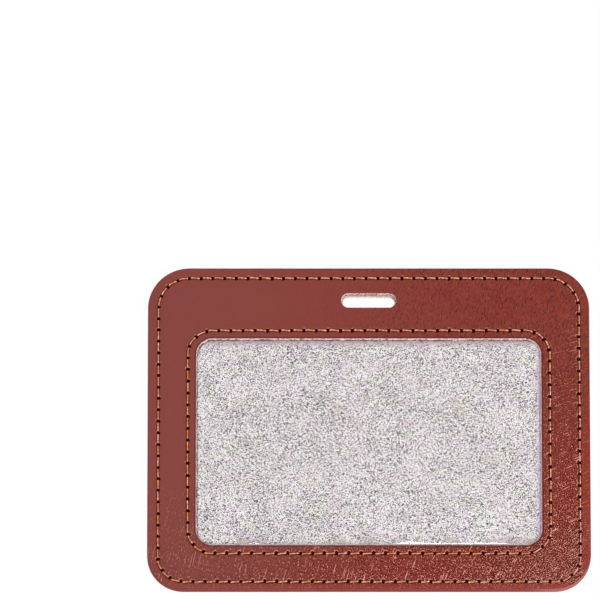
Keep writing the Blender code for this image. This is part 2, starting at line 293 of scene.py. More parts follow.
class Seam:
    """A lockstitch seam: its loop and its needle holes, each a little off its ideal place.

    The mesh's columns cross the loop at places, and along is how far each is from the nearest hole.
    """

    def __init__(self, loop, stitches, first_hole, seed):
        self.loop, self.stitches = loop, stitches
        self.length = loop.lengths.sum()
        self.chance = np.random.default_rng(seed)
        jitter = self.chance.uniform(-HOLE_JITTER, HOLE_JITTER, stitches)
        self.holes = first_hole + np.arange(stitches) * self.length / stitches + jitter
        self.ends = np.append(self.holes[1:], self.holes[0] + self.length)
        self.sides = self.chance.uniform(-SIDE_JITTER, SIDE_JITTER, stitches)
        self.sizes = self.chance.uniform(*HOLE_SIZES, stitches)
        self.places, self.along = self.columns()

    def columns(self):
        half = (self.ends - self.holes)[:, None] / 2
        after = np.tile(COLUMN_STEPS, (self.stitches, 1))
        before = -after[:, :0:-1]
        start, end = self.holes[:, None], self.ends[:, None]
        distance = np.hstack([start + after, start + half, end + before])
        return self.loop.locate(distance.ravel()), np.hstack([after, half, before]).ravel()

    def by_column(self, values):
        """For each mesh column, the value of the hole that is nearest."""
        after = np.tile(values[:, None], len(COLUMN_STEPS) + 1)
        before = np.tile(np.roll(values, -1)[:, None], len(COLUMN_STEPS) - 1)
        return np.hstack([after, before]).ravel()

    def valley(self, offset):
        shoulder = SHOULDER_RISE * bell(np.abs(offset) - SHOULDER_AT, SHOULDER_W)
        return shoulder - VALLEY_DEPTH * bell(offset, VALLEY_W)

    def pits(self, offset, normal):
        """Needle holes: slanted slits, with a lip of raised leather above them."""
        along = self.along
        offset = offset - self.by_column(self.sides) + HOLE_INSET
        reach = np.hypot((offset - along) / HOLE_LONG, (offset + along) / HOLE_SHORT) / math.sqrt(2)
        reach = reach / self.by_column(self.sizes)
        east = offset * normal[:, 0] - along * normal[:, 1]
        north = offset * normal[:, 1] + along * normal[:, 0]
        toward = (LIP_NORTH * north + LIP_EAST * east) / np.hypot(east, north).clip(WELD)
        lip = LIP_RISE * bell(reach - LIP_AT, LIP_W) * smooth(0.2 + toward)
        return lip - (HOLE_DEPTH - VALLEY_DEPTH) * smooth((HOLE_RIM - reach) / HOLE_FALL)

    def stitch_paths(self, low, high):
        """Centre lines of the stitches, sideways direction, and each ring's share of its stitch."""
        half = np.array([0.02, 0.08, 0.105, 0.125, 0.145, 0.16, 0.18, 0.2, 0.23, 0.3, 0.4])
        share = np.concatenate([half, [0.5], 1 - half[::-1]])
        distance = self.holes[:, None] + (self.ends - self.holes)[:, None] * share
        found = self.loop.place(*self.loop.locate(distance))
        normal = found[..., 2:]
        side = self.sides[:, None] * (1 - share) + np.roll(self.sides, -1)[:, None] * share
        side = side - normal[..., 1] * STITCH_SLANT * (1 - 2 * share)
        swell = self.chance.uniform(0.9, 1.1, (self.stitches, 1))
        risen = smooth((np.minimum(share, 1 - share) - RISE_AT) / (RISE_SPAN * swell))
        side = side - HOLE_INSET * (1 - risen)
        xy = found[..., :2] + side[..., None] * normal + THREAD_SHIFT * risen[..., None]
        paths = np.concatenate([xy, (low + (high - low) * risen)[..., None]], -1)
        sideways = np.concatenate([normal, np.zeros_like(side)[..., None]], -1)
        return paths, sideways, share


OUTER_LOOP = HOLDER.grown(-OUTER_SEAM_INSET).lowered(OUTER_SEAM_INSET - BOTTOM_SEAM_INSET)
OUTER = Seam(OUTER_LOOP, OUTER_STITCHES, OUTER_FIRST_HOLE, 11)
INNER = Seam(WINDOW.grown(INNER_SEAM_OFFSET), INNER_STITCHES, INNER_FIRST_HOLE, 12)


class Shell:
    """Points and faces of a mesh, gathered ring by ring."""

    def __init__(self):
        self.points, self.faces, self.slots, self.count = [], [], [], 0

    def ring(self, rows, z):
        """Adds a ring of points, each at the x and y of its row, and returns their numbers."""
        self.points.append(np.column_stack([rows[:, :2], np.broadcast_to(z, len(rows))]))
        self.count += len(rows)
        return np.arange(self.count - len(rows), self.count)

    def add(self, faces, slot):
        self.faces += faces.tolist()
        self.slots += [slot] * len(faces)

    def join(self, rings, slot):
        """Quads between one ring and the next, all with as many points."""
        for first, second in zip(rings, rings[1:]):
            self.add(np.stack([first, np.roll(first, -1), np.roll(second, -1), second], 1), slot)

    def mesh(self, name, levels=()):
        """The mesh, welded, with the flat parts between open rims filled at levels given as (z, slot)."""
        made = bpy.data.meshes.new(name)
        made.from_pydata(np.vstack(self.points).tolist(), [], self.faces)
        made.polygons.foreach_set("material_index", self.slots)
        shape = bmesh.new()
        shape.from_mesh(made)
        bmesh.ops.remove_doubles(shape, verts=shape.verts, dist=WELD)
        for level, slot in levels:
            rims = [edge for edge in shape.edges if edge.is_boundary
                    and all(abs(vert.co.z - level) < WELD for vert in edge.verts)]
            filled = bmesh.ops.triangle_fill(shape, use_beauty=True, edges=rims, normal=(0, 0, 1))
            for face in filled["geom"]:
                if isinstance(face, bmesh.types.BMFace):
                    face.material_index = slot
        bmesh.ops.recalc_face_normals(shape, faces=shape.faces)
        shape.to_mesh(made)
        shape.free()
        return made


def linked(name, data):
    made = bpy.data.objects.new(name, data)
    bpy.context.scene.collection.objects.link(made)
    return made


def finished(name, mesh, materials, angle=45):
    """An object that rides on the holder, smooth shaded up to this angle."""
    for surface in materials:
        mesh.materials.append(surface)
    mesh.shade_smooth()
    mesh.set_sharp_from_angle(angle=math.radians(angle))
    made = linked(name, mesh)
    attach(made, "root")
    return made


def fill_face(shell, rims, inside):
    """The front's face between the rims, on a grid. inside(x, y) is how far a point is from them."""
    points, edges = [], []
    for rim in rims:
        numbers = len(points) + np.arange(len(rim))
        edges += np.stack([numbers, np.roll(numbers, -1)], 1).tolist()
        points += rim.tolist()
    low, high = np.min(rims[0], 0), np.max(rims[0], 0)
    x, y = np.meshgrid(*(np.arange(start, end, FACE_GRID) for start, end in zip(low, high)))
    keep = inside(x, y) > FACE_GRID / 2
    points += np.stack([x[keep], y[keep]], 1).tolist()
    found = geometry.delaunay_2d_cdt([Vector(point) for point in points], edges, [], 1, WELD / 10, False)
    xy = np.array([point[:] for point in found[0]])
    triangles = np.array(found[2])
    middle = xy[triangles].mean(1)
    triangles = triangles[inside(*middle.T) > 0]
    numbers = shell.ring(xy, face_height(*xy.T))
    shell.add(numbers[triangles], FACE_SLOT)


def face_height(x, y):
    """The leather's face: soft swell, and the valleys of both seams."""
    calm = smooth(LEATHER.depth(x, y) / MM) * smooth(-WINDOW.depth(x, y) / MM)
    calm = calm * smooth(-SLOT.depth(x, y) / (2 * MM) - 0.35)
    swell = SWELL_RISE * pattern(x, y, 24, 15, 0.3, 1.5)
    valleys = sum(seam.valley(seam.loop.depth(x, y)) for seam in (OUTER, INNER))
    return FACE + swell * calm + valleys


def fuzzy(rows, z):
    """Points pushed in or out by the roughness of a cut edge."""
    push = [noise.noise((x / (0.5 * MM), y / (0.5 * MM), z / (0.4 * MM) + 3)) for x, y, *_ in rows]
    return rows[:, :2] + rows[:, 2:] * FUZZ * np.array(push)[:, None]


def rounded(radius, level, outward, steps):
    """(margin, z) of the rings round an edge, from the wall to the face at this level."""
    angles = math.pi / 2 * np.arange(steps + 1) / steps
    return [(radius * (1 - math.cos(angle)) * outward, level - radius * (1 - math.sin(angle)))
            for angle in angles]


def raked_wall(shell, rows, rake):
    """Rings of the front's rough cut wall, which leans into the opening lower down."""
    rings = []
    for share in (0, 0.2, 0.4, 0.6, 0.8):
        z = FRONT_LOW + (FACE - CUT_EDGE_R - FRONT_LOW) * share
        there = rows(-rake * (1 - share))
        rings.append(shell.ring(fuzzy(there, z) if share else there, z))
    return rings


def seam_rings(shell, seam, height):
    """Rings of points across a seam, from its inner to its outer side."""
    rows = seam.loop.place(*seam.places)
    rings = []
    for offset in SEAM_ROWS:
        xy = rows[:, :2] + rows[:, 2:] * offset
        rings.append(shell.ring(xy, height(xy, offset, seam.pits(offset, rows[:, 2:]))))
    return rings


def pressed_face(xy, offset, pits):
    return face_height(*xy.T) + pits


def window_side(shell):
    """The window's cut wall, its rounded edge and the inner seam. Returns the points where they end."""
    def rows(margin):
        return WINDOW.grown(margin).place(*INNER.places)

    wall = raked_wall(shell, rows, WINDOW_RAKE)
    edge = rounded(CUT_EDGE_R, FACE, 1, 3) + [(2 * CUT_EDGE_R, FACE)]
    rings = [shell.ring(rows(margin), z) for margin, z in edge]
    shell.join(wall + rings[:1], CUT_SLOT)
    rings += seam_rings(shell, INNER, pressed_face)
    shell.join(rings, FACE_SLOT)
    return INNER.loop.grown(SEAM_ROWS[-1]).place(*INNER.places)[:, :2]


def outer_side(shell):
    """The outer seam and the rounded outer edge. Returns the points where they begin."""
    def rows(margin):
        return LEATHER.grown(margin).place(*OUTER.places)

    rings = seam_rings(shell, OUTER, pressed_face)
    edge = rounded(FACE_EDGE_R, FACE, -1, 5)[::-1]
    seam_end, edge_start = shell.points[-1][:, :2], rows(edge[0][0])[:, :2]
    for share in (0.35, 0.7):
        xy = seam_end + (edge_start - seam_end) * share
        rings.append(shell.ring(xy, face_height(*xy.T)))
    rings += [shell.ring(rows(margin), z) for margin, z in edge + [(0.0, FRONT_LOW)]]
    shell.join(rings, FACE_SLOT)
    return OUTER.loop.grown(-SEAM_ROWS[-1]).place(*OUTER.places)[:, :2]


def slot_side(shell):
    """The slot's flat collar, its rounded edge and its cut wall. Returns the collar's outer points."""
    def rows(margin):
        return SLOT.grown(margin).ring(*SLOT_COUNTS)

    edge = [(COLLAR, FACE)] + rounded(CUT_EDGE_R, FACE, 1, 3)[::-1]
    rings = [shell.ring(rows(margin), z) for margin, z in edge]
    shell.join(rings, FACE_SLOT)
    shell.join(raked_wall(shell, rows, SLOT_RAKE) + rings[-1:], CUT_SLOT)
    return slot_points(COLLAR)


def front_leather(materials):
    shell = Shell()
    window_rim, outer_rim, slot_rim = window_side(shell), outer_side(shell), slot_side(shell)

    def inside(x, y):
        beside = np.minimum(OUTER.loop.depth(x, y), -INNER.loop.depth(x, y)) - SEAM_ROWS[-1]
        return np.minimum(beside, -SLOT.depth(x, y) - COLLAR)

    fill_face(shell, [outer_rim, window_rim, slot_rim], inside)
    mesh = shell.mesh("front_leather", [(FRONT_LOW, CUT_SLOT)])
    made = finished("front_leather", mesh, materials)
    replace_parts(made, "front_panel")


def rear_leather(materials):
    """The back: a level face with the outer seam's valley and holes pressed in."""
    shell = Shell()

    def height(xy, offset, pits):
        pressed = OUTER.valley(offset) + pits
        return np.maximum(-REAR_PRESS * pressed, 0.0) if abs(offset) < SEAM_ROWS[-1] else 0.0

    rings = seam_rings(shell, OUTER, height)
    for margin, z in rounded(REAR_EDGE_R, 0.0, -1, 4)[::-1] + [(0.0, -REAR_TOP)]:
        rings.append(shell.ring(LEATHER.grown(margin).place(*OUTER.places), -z))
    shell.join(rings, FACE_SLOT)

    for outline, rake in ((slot_points, REAR_SLOT_RAKE), (slit_points, 0.0)):
        collar = [shell.ring(outline(COLLAR), 0.0)]
        for margin, z in rounded(CUT_EDGE_R, 0.0, 1, 3)[::-1]:
            collar.append(shell.ring(outline(margin - rake), -z))
        shell.join(collar, FACE_SLOT)
        shell.join([collar[-1], shell.ring(outline(-rake / 2), REAR_TOP)], CUT_SLOT)

    mesh = shell.mesh("rear_leather", [(0.0, FACE_SLOT), (REAR_TOP, CUT_SLOT)])
    made = finished("rear_leather", mesh, materials)
    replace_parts(made, "rear_panel")


def edge_paint(surface):
    """Painted band round the stack's cut edges, faintly grooved at each joint between sheets."""
    low, high = PAINT_T, FACE - FACE_EDGE_R
    joints = (REAR_TOP, LINING_TOP, FILM_LOW, FRONT_LOW)
    rim_w, groove_w, groove_depth = 0.06 * MM, 0.07 * MM, 0.009 * MM
    behind = -PAINT_T * 1.2  # the band's hidden side, a little inside the leather
    shell = Shell()
    section = [(behind, low)]
    for z in np.linspace(low, high, 33):
        rim = PAINT_T * 0.8 * bell(min(z - low, high - z), rim_w)
        groove = sum(groove_depth * bell(z - joint, groove_w) for joint in joints)
        section.append((-rim - groove, z))
    section.append((behind, high))
    rings = []
    for offset, z in section:
        rows = HOLDER.grown(offset).ring(30, 90, 140)
        lumps = 0.018 * MM * pattern(rows[:, 0] + rows[:, 1], np.full(len(rows), z), 2.5, 0.8, 0.0, 4.5)
        lumps = np.minimum(lumps, -offset) if offset > -PAINT_T else 0.0 * lumps
        rings.append(shell.ring(rows[:, :2] + rows[:, 2:] * lumps[:, None], z))
    shell.join(rings + rings[:1], 0)
    made = finished("edge_paint", shell.mesh("edge_paint"), [surface], 60)


def tubes(name, centres, side, up, radius, surface, sides, marks):
    """Closed tubes along rows of centres. marks holds numbers kept at the rings, for the material."""
    count, rings = centres.shape[:2]
    around = 2 * math.pi * np.arange(sides) / sides
    turned = np.cos(around)[:, None] * side[:, :, None, :] + np.sin(around)[:, None] * up[:, :, None, :]
    points = centres[:, :, None, :] + np.broadcast_to(radius, (count, rings))[..., None, None] * turned
    numbers = np.arange(count * rings * sides).reshape(count, rings, sides)
    onward = np.roll(numbers, -1, 2)
    quads = np.stack([numbers[:, :-1], onward[:, :-1], onward[:, 1:], numbers[:, 1:]], -1).reshape(-1, 4)
    caps = np.vstack([numbers[:, 0, ::-1], numbers[:, -1]])
    mesh = bpy.data.meshes.new(name)
    mesh.from_pydata(points.reshape(-1, 3).tolist(), [], quads.tolist() + caps.tolist())
    shape = bmesh.new()
    shape.from_mesh(mesh)
    bmesh.ops.recalc_face_normals(shape, faces=shape.faces)
    shape.to_mesh(mesh)
    shape.free()
    for mark, values in marks.items():
        kept = mesh.attributes.new(mark, "FLOAT", "POINT")
        kept.data.foreach_set("value", np.repeat(np.broadcast_to(values, (count, rings)).ravel(), sides))
    return finished(name, mesh, [surface], 75)


def twisted(name, stitches, surface, flatness=1.0, sides=6):
    """Plies twisted round each stitch's path, marked for a painted highlight near both ends of the stitch.
    """
    paths, sideways, share = stitches
    tangent = np.gradient(paths, axis=1)
    tangent /= np.linalg.norm(tangent, axis=-1, keepdims=True)
    up = np.cross(tangent, sideways)
    up *= flatness / np.linalg.norm(up, axis=-1, keepdims=True)
    ply_r = THREAD_R / (1 + 2 / math.sqrt(3))
    chance = np.random.default_rng(len(paths))
    phase = chance.uniform(0, 2 * math.pi, (len(paths), 1))
    plies = []
    for ply in range(PLIES):
        angle = 2 * math.pi * (TURNS * share + ply / PLIES) + phase
        plies.append(paths + (THREAD_R - ply_r) * (np.cos(angle)[..., None] * sideways
                                                   + np.sin(angle)[..., None] * up))
    painted_highlight = bell(np.minimum(share, 1 - share) - 0.2, 0.05)
    dye = np.repeat(chance.uniform(0, 1, len(paths)), PLIES)[:, None]
    centres = np.stack(plies, 1).reshape(-1, *paths.shape[1:])
    made = tubes(name, centres, np.repeat(sideways, PLIES, 0), np.repeat(up, PLIES, 0), ply_r * 1.04,
                 surface, sides, {"painted_highlight": painted_highlight, "dye": dye})
    return made


def needle_stitches(name, seam, surface):
    return twisted(name, seam.stitch_paths(FACE - HOLE_DEPTH, THREAD_TOP), surface)


def board(surface):
    """A flat die-cut sheet with the slot and the pocket cut out."""
    shell = Shell()
    for loop, counts in ((LEATHER, SHEET_COUNTS), (INNER_SLOT, SLOT_COUNTS), (POCKET, POCKET_COUNTS)):
        rows = loop.ring(*counts)
        shell.join([shell.ring(rows, BOARD_LOW), shell.ring(rows, BOARD_TOP)], 0)
    mesh = shell.mesh("stiffener_board", [(BOARD_LOW, 0), (BOARD_TOP, 0)])
    made = finished("stiffener_board", mesh, [surface])
    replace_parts(made, "stiffener_frame")


def grid_sheet(name, xs, ys, height, low, level, cutouts, surface):
    """A flat sheet of the holder's outline, with a fine grid at xs and ys shaped by height(x, y)."""
    x, y = np.meshgrid(xs, ys)
    points = np.stack([x, y, level + height(x, y)], -1)
    numbers = np.arange(x.size).reshape(x.shape)
    quads = np.stack([numbers[:-1, :-1], numbers[:-1, 1:], numbers[1:, 1:], numbers[1:, :-1]], -1)
    mesh = bpy.data.meshes.new(name)
    mesh.from_pydata(points.reshape(-1, 3).tolist(), [], quads.reshape(-1, 4).tolist())
    shape = bmesh.new()
    shape.from_mesh(mesh)
    rims = [edge for edge in shape.edges if edge.is_boundary]
    for loop in [LEATHER.points(*SHEET_COUNTS)] + cutouts:
        verts = [shape.verts.new((px, py, level)) for px, py in loop]
        rims += [shape.edges.new(pair) for pair in zip(verts, verts[1:] + verts[:1])]
    bmesh.ops.triangle_fill(shape, use_beauty=True, edges=rims, normal=(0, 0, 1))
    for face in shape.faces:
        if face.normal.z < 0:
            face.normal_flip()
    shape.to_mesh(mesh)
    shape.free()
    made = finished(name, mesh, [surface])
    solid = made.modifiers.new("thickness", "SOLIDIFY")
    solid.thickness = level - low
    solid.offset = -1
    return made


def lining_height(x, y):
    """Felted relief: short fibre tufts on soft lumps."""
    tufts = pattern(x, y, 1.3, 0.55, 0.1, 21.5)
    tufts = tufts + 0.7 * pattern(x, y, 1.1, 0.5, 0.9, 33.5)
    lumps = pattern(x, y, 8, 6, 0.0, 2.5)
    puff = smooth(POCKET.depth(x, y) / (2.4 * MM))
    return (LINING_PUFF + 0.035 * MM * tufts + 0.04 * MM * lumps) * puff


def lining(surface):
    side, below, above = 44.5 * MM, 2.5 * MM, 2.3 * MM  # reach of the grid, the last two past the window
    xs = np.arange(-side, side, SHEET_GRID)
    ys = np.arange(WINDOW.bottom - below, WINDOW.top + above, SHEET_GRID)
    made = grid_sheet("lining_cloth", xs, ys, lining_height, LINING_LOW, LINING_TOP,
                      [SHEET_SLOT, slit_points()], surface)
    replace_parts(made, "pocket_lining")


def lining_fibres(surface):
    """Loose white fibres that lie on the lining, bent a little and mostly level."""
    chance = np.random.default_rng(31)
    half = POCKET.half - 2 * MM
    low, high = POCKET.bottom + 1.5 * MM, WINDOW.top + 1.5 * MM
    middle = chance.uniform((-half, low), (half, high), (FIBRES, 2))
    share = np.linspace(-0.5, 0.5, 6)
    heading = chance.normal(0.1, 0.5, (FIBRES, 1)) + chance.normal(0, 0.7, (FIBRES, 1)) * share
    step = chance.uniform(1.2, 3.6, (FIBRES, 1)) * MM / 5
    run = np.stack([np.cos(heading), np.sin(heading), np.zeros_like(heading)], -1)
    side = np.stack([-run[..., 1], run[..., 0], run[..., 2]], -1)
    up = np.broadcast_to([0.0, 0.0, 1.0], side.shape)
    xy = np.cumsum(run[..., :2] * step[..., None], 1)
    xy = xy - xy.mean(1, keepdims=True) + middle[:, None]
    x, y = np.clip(xy[..., 0], -half, half), np.clip(xy[..., 1], low, high)
    lift = chance.uniform(0.03, 0.10, (FIBRES, 1)) * MM * (1 - 4 * share ** 2)
    z = LINING_TOP + lining_height(x, y) + FIBRE_R / 2 + lift
    radius = FIBRE_R * (1 - 0.8 * (2 * share) ** 4)
    shade = chance.uniform(0, 1, (FIBRES, 1))
    made = tubes("lining_fibres", np.stack([x, y, z], -1), side, up, radius, surface, 3, {"shade": shade})


def film_rise(depth):
    return FILM_RISE * smooth(depth / (3.0 * MM))


def lit_fold(from_bottom, start, reach):
    """Height that gives the film the lit slope from start to start + reach above the window's edge."""
    climb = np.clip(from_bottom - start, 0.0, reach)
    there = start + WINDOW_RAKE
    return LIT_SLOPE * climb - film_rise(there + climb) + film_rise(there)


def film_height(x, y):
    """The film bellies up inside the window, with creases along the lower edge."""
    depth = np.maximum(WINDOW.grown(WINDOW_RAKE).depth(x, y), 0.0)
    rise = film_rise(depth)
    waves = 0.04 * MM * pattern(x, y, 26, 17, 0.2, 9.5)
    from_bottom = y - WINDOW.bottom
    crease = 0.15 * MM * smooth(1 - np.abs(x + 33 * MM) / (9 * MM)) * np.sin(x / (1.2 * MM))
    crease = crease * bell(from_bottom - 1.1 * MM, 0.5 * MM)
    # A long fold on the right, wider near its left end, and a short one that climbs to the right
    long = 0.55 * MM * smooth(2.2 - np.abs(x - 21 * MM) / (8 * MM))
    long = long + 0.4 * MM * bell(x - 9 * MM, 2.8 * MM)
    short = 0.35 * MM * smooth(2.0 - np.abs(x + 25.5 * MM) / (2.2 * MM))
    climbing = 0.4 * MM + 0.5 * MM * smooth((x + 28.5 * MM) / (6 * MM))
    folds = lit_fold(from_bottom, 0.4 * MM, long) + lit_fold(from_bottom, climbing, short)
    folds = folds * smooth(1.5 - from_bottom / (3.5 * MM))
    return rise + (waves + crease) * smooth(depth / (0.6 * MM)) + folds


def film(surface):
    side, past = 43.0 * MM, 1.5 * MM  # reach of the grid, the second past the window
    creased = WINDOW.bottom + 2.6 * MM
    xs = np.arange(-side, side, SHEET_GRID)
    ys = np.concatenate([np.arange(WINDOW.bottom - past, creased, FINE_GRID),
                         np.arange(creased, WINDOW.top + past, 1.5 * SHEET_GRID)])
    made = grid_sheet("clear_film", xs, ys, film_height, FILM_LOW, FILM_TOP, [SHEET_SLOT], surface)
    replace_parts(made, "window_film")


class Paint:
    """A material's nodes, with short calls for those that the materials share."""

    def __init__(self, name):
        self.material = bpy.data.materials.new(name)
        self.material.use_nodes = True
        self.tree = self.material.node_tree
        self.tree.nodes.clear()
        self.place = self.node("TexCoord").outputs["Object"]
        apart = self.node("SeparateXYZ", Vector=self.place)
        self.x, self.y, self.z = apart.outputs
        self.tone = None

    def node(self, kind, settings=None, **inputs):
        made = self.tree.nodes.new("ShaderNode" + kind)
        for key, value in (settings or {}).items():
            setattr(made, key, value)
        for key, value in inputs.items():
            self.feed(made.inputs[key.replace("_", " ")], value)
        return made

    def feed(self, socket, value):
        if isinstance(value, bpy.types.NodeSocket):
            self.tree.links.new(value, socket)
        else:
            socket.default_value = value

    def round_pivot(self, x, y):
        """Coordinates round a pivot: along the arc, then out from the pivot."""
        dx, dy = self.minus(self.x, x), self.minus(self.y, y)
        along = self.times(self.maths("ARCTAN2", dy, dx), 45 * MM)
        return self.node("CombineXYZ", X=along, Y=self.distance(dx, dy)).outputs[0]

    def distance(self, across, upward):
        squares = self.plus(self.times(across, across), self.times(upward, upward))
        return self.maths("SQRT", squares)

    def slope(self, x_scale, y_scale):
        """Rises to the right and towards the bottom edge."""
        return self.minus(self.maths("DIVIDE", self.x, x_scale), self.maths("DIVIDE", self.y, y_scale))

    def spots(self, length, width=None, turn=0.0, seed=0.0, detail=2.0, rough=0.5, place=None):
        """Noise whose spots have this length and width in mm, turned from the X axis."""
        width = (width or length) * MM
        mapped = self.node("Mapping", {"vector_type": "TEXTURE"}, Vector=place or self.place,
                           Rotation=(0, 0, turn), Scale=(length * MM, width, width))
        made = self.node("TexNoise", {"noise_dimensions": "4D"}, Vector=mapped.outputs[0], W=seed,
                         Scale=1.0, Detail=detail, Roughness=rough)
        return made.outputs["Fac"]

    def inside(self, shape):
        """Depth inside a rounded rectangle, with its top radius at all four corners."""
        radius, middle = shape.top_r, (shape.bottom + shape.top) / 2
        across = self.minus(self.maths("ABSOLUTE", self.x), shape.half - radius)
        upward = self.maths("ABSOLUTE", self.minus(self.y, middle))
        upward = self.minus(upward, (shape.top - shape.bottom) / 2 - radius)
        corner = self.distance(self.larger(across, 0.0), self.larger(upward, 0.0))
        flat = self.maths("MINIMUM", self.larger(across, upward), 0.0)
        return self.minus(radius, self.plus(corner, flat))

    def mark(self, name):
        """A number kept at the mesh's points."""
        return self.node("Attribute", {"attribute_name": name}).outputs["Fac"]

    def band(self, value, low, high, to_low=0.0, to_high=1.0):
        """Goes smoothly from to_low to to_high as value goes from low to high."""
        made = self.tree.nodes.new("ShaderNodeMapRange")
        made.interpolation_type = "SMOOTHSTEP"
        for slot, number in zip(made.inputs, (value, low, high, to_low, to_high)):
            self.feed(slot, number)
        return made.outputs[0]

    def maths(self, operation, first, second=0.0):
        made = self.tree.nodes.new("ShaderNodeMath")
        made.operation = operation
        self.feed(made.inputs[0], first)
        self.feed(made.inputs[1], second)
        return made.outputs[0]

    def plus(self, first, second):
        return self.maths("ADD", first, second)

    def minus(self, first, second):
        return self.maths("SUBTRACT", first, second)

    def larger(self, first, second):
        return self.maths("MAXIMUM", first, second)

    def times(self, *factors):
        product = factors[0]
        for factor in factors[1:]:
            product = self.maths("MULTIPLY", product, factor)
        return product

    def mix(self, share, first, second):
        """Two colours mixed. The first may come from a node."""
        made = self.tree.nodes.new("ShaderNodeMix")
        made.data_type = "RGBA"
        self.feed(made.inputs[0], share)
        self.feed(made.inputs[6], first if isinstance(first, bpy.types.NodeSocket) else (*first, 1.0))
        self.feed(made.inputs[7], (*second, 1.0))
        return made.outputs[2]

    def coat(self, share, colour):
        """Lays a colour over the tone so far."""
        self.tone = self.mix(share, self.tone, colour)

    def wash(self, value, low, high, share, colour):
        """A coat that grows to this share as value goes from low to high."""
        self.coat(self.band(value, low, high, 0.0, share), colour)

    def bump(self, height, depth, normal=None, strength=1.0):
        """Surface relief of this depth in mm."""
        made = self.node("Bump", Height=height, Distance=depth * MM, Strength=strength)
        if normal is not None:
            self.feed(made.inputs["Normal"], normal)
        return made.outputs[0]

    def finish(self, shader):
        output = self.node("OutputMaterial")
        self.tree.links.new(shader, output.inputs["Surface"])
        return self.material

    def surface(self, rough, **inputs):
        """The finished material, with the tone as its colour."""
        made = self.node("BsdfPrincipled", Base_Color=self.tone, Roughness=rough, **inputs)
        return self.finish(made.outputs[0])

    def blend(self, share, first, second):
        """The finished material, mixed from two shaders."""
        made = self.node("MixShader", Fac=share)
        self.tree.links.new(first, made.inputs[1])
        self.tree.links.new(second, made.inputs[2])
        return self.finish(made.outputs[0])


def leather_face(name, level, inward, even, seams):
    """Imitation leather, coarsest at the lower right.

    level is its face, inward says which way its pits go and even is the least share of the grain.
    seams counts the seams that show on it: the outer one, or also the one round the window.
    """
    p = Paint(name)
    # The grain is coarse towards the lower right and weaker outside the outer seam
    slope = p.slope(75 * MM, 40 * MM)
    patchy = p.times(p.minus(p.spots(9, seed=3), 0.5), 0.7)
    coarse = p.band(p.plus(slope, patchy), -0.45, 1.4, even, 1.0)
    right = p.band(p.x, 51.3 * MM, 50.7 * MM, 0.35, 1.0)
    below = p.band(p.y, -38.7 * MM, -38.2 * MM, 0.35, 1.0)
    coarse = p.times(coarse, p.times(right, below))

    # Specks in rows that run round a pivot beyond the lower right corner
    fan = p.round_pivot(69.5 * MM, -58 * MM)
    rows = p.times(p.minus(p.spots(2.4, 0.26, seed=1, detail=0, place=fan), 0.5), 0.2)
    specks = p.plus(p.spots(0.26, 0.17, seed=2, detail=0, place=fan), rows)
    deeper = p.band(slope, 0.9, 1.5, 0.0, 0.055)
    painted_highlight = p.band(p.plus(specks, deeper), 0.695, 0.72)
    dark = p.band(p.minus(specks, deeper), 0.46, 0.40)
    # Thin creases that run the same way, which take painted highlights like the specks
    creases = p.band(p.spots(2.6, 0.18, seed=7, detail=0, place=fan), 0.72, 0.76)
    painted_highlight = p.larger(painted_highlight, creases)
    # Upright wrinkles and ridges at the upper right, given painted shade and painted highlights
    upper = p.times(p.band(p.x, -20 * MM, 22 * MM), p.band(p.y, -14 * MM, 14 * MM))
    wrinkles = p.times(p.band(p.spots(0.80, 0.20, math.radians(84), 4, 0), 0.59, 0.68), upper)
    ridges = p.times(p.band(p.spots(1.1, 0.22, math.radians(80), 5, 0), 0.62, 0.70), upper)
    fine = p.spots(0.22, seed=6, detail=3)

    # Greyer and pinker at the left: a painted sheen, the soft reflection of a lamp; deeper red towards the
    # lower right
    p.tone = p.mix(p.band(p.x, -50 * MM, 45 * MM), (0.186, 0.034, 0.029), (0.186, 0.018, 0.009))
    p.wash(slope, 0.3, 1.4, 1.0, (0.215, 0.017, 0.008))
    p.wash(p.spots(6, seed=8), 0.3, 0.7, 0.12, (0.24, 0.05, 0.02))
    # Browner close to the seams
    near = 0.0
    for seam in (OUTER, INNER)[:seams]:
        beside = p.maths("ABSOLUTE", p.inside(seam.loop), 0.0)
        p.wash(beside, 1.5 * MM, 0.4 * MM, 0.4, (0.145, 0.034, 0.012))
        near = p.larger(near, p.band(beside, 1.5 * MM, 1.2 * MM))
    # Painted highlights on the ridges and painted shade in the wrinkles
    p.coat(p.times(ridges, 0.28), (0.40, 0.12, 0.09))
    p.coat(p.times(wrinkles, 0.9), (0.06, 0.005, 0.004))
    # Painted shade in the grain's pits, and painted highlights, as glints, on its specks and creases
    p.coat(p.times(dark, coarse, 0.95), (0.012, 0.001, 0.001))
    p.coat(p.times(painted_highlight, coarse), (1.0, 0.48, 0.38))
    # A dark line along the window's edge
    if seams > 1:
        p.wash(p.inside(WINDOW), -0.45 * MM, -0.28 * MM, 0.75, (0.06, 0.007, 0.005))
    # Painted shade, dark red, in the pressed valleys and needle holes, and a painted highlight on the lips
    # beside them
    down = p.times(p.minus(level, p.z), inward, near)
    p.wash(down, 0.16 * MM, 0.33 * MM, 0.85, (0.09, 0.003, 0.001))
    p.wash(down, 0.34 * MM, 0.48 * MM, 1.0, (0.085, 0.003, 0.001))
    p.wash(down, -0.02 * MM, -0.06 * MM, 0.8, (0.72, 0.36, 0.30))

    relief = p.bump(specks, 0.12, strength=p.times(coarse, 0.9))
    relief = p.bump(p.minus(ridges, wrinkles), 0.04, relief)
    relief = p.bump(fine, 0.02, relief)
    rough = p.band(fine, 0.3, 0.7, 0.44, 0.6)
    matt = p.larger(p.times(dark, coarse), p.band(down, 0.05 * MM, 0.15 * MM))
    gloss = p.band(matt, 0.0, 1.0, 0.24, 0.0)
    return p.surface(rough, Specular_IOR_Level=gloss, Normal=relief)


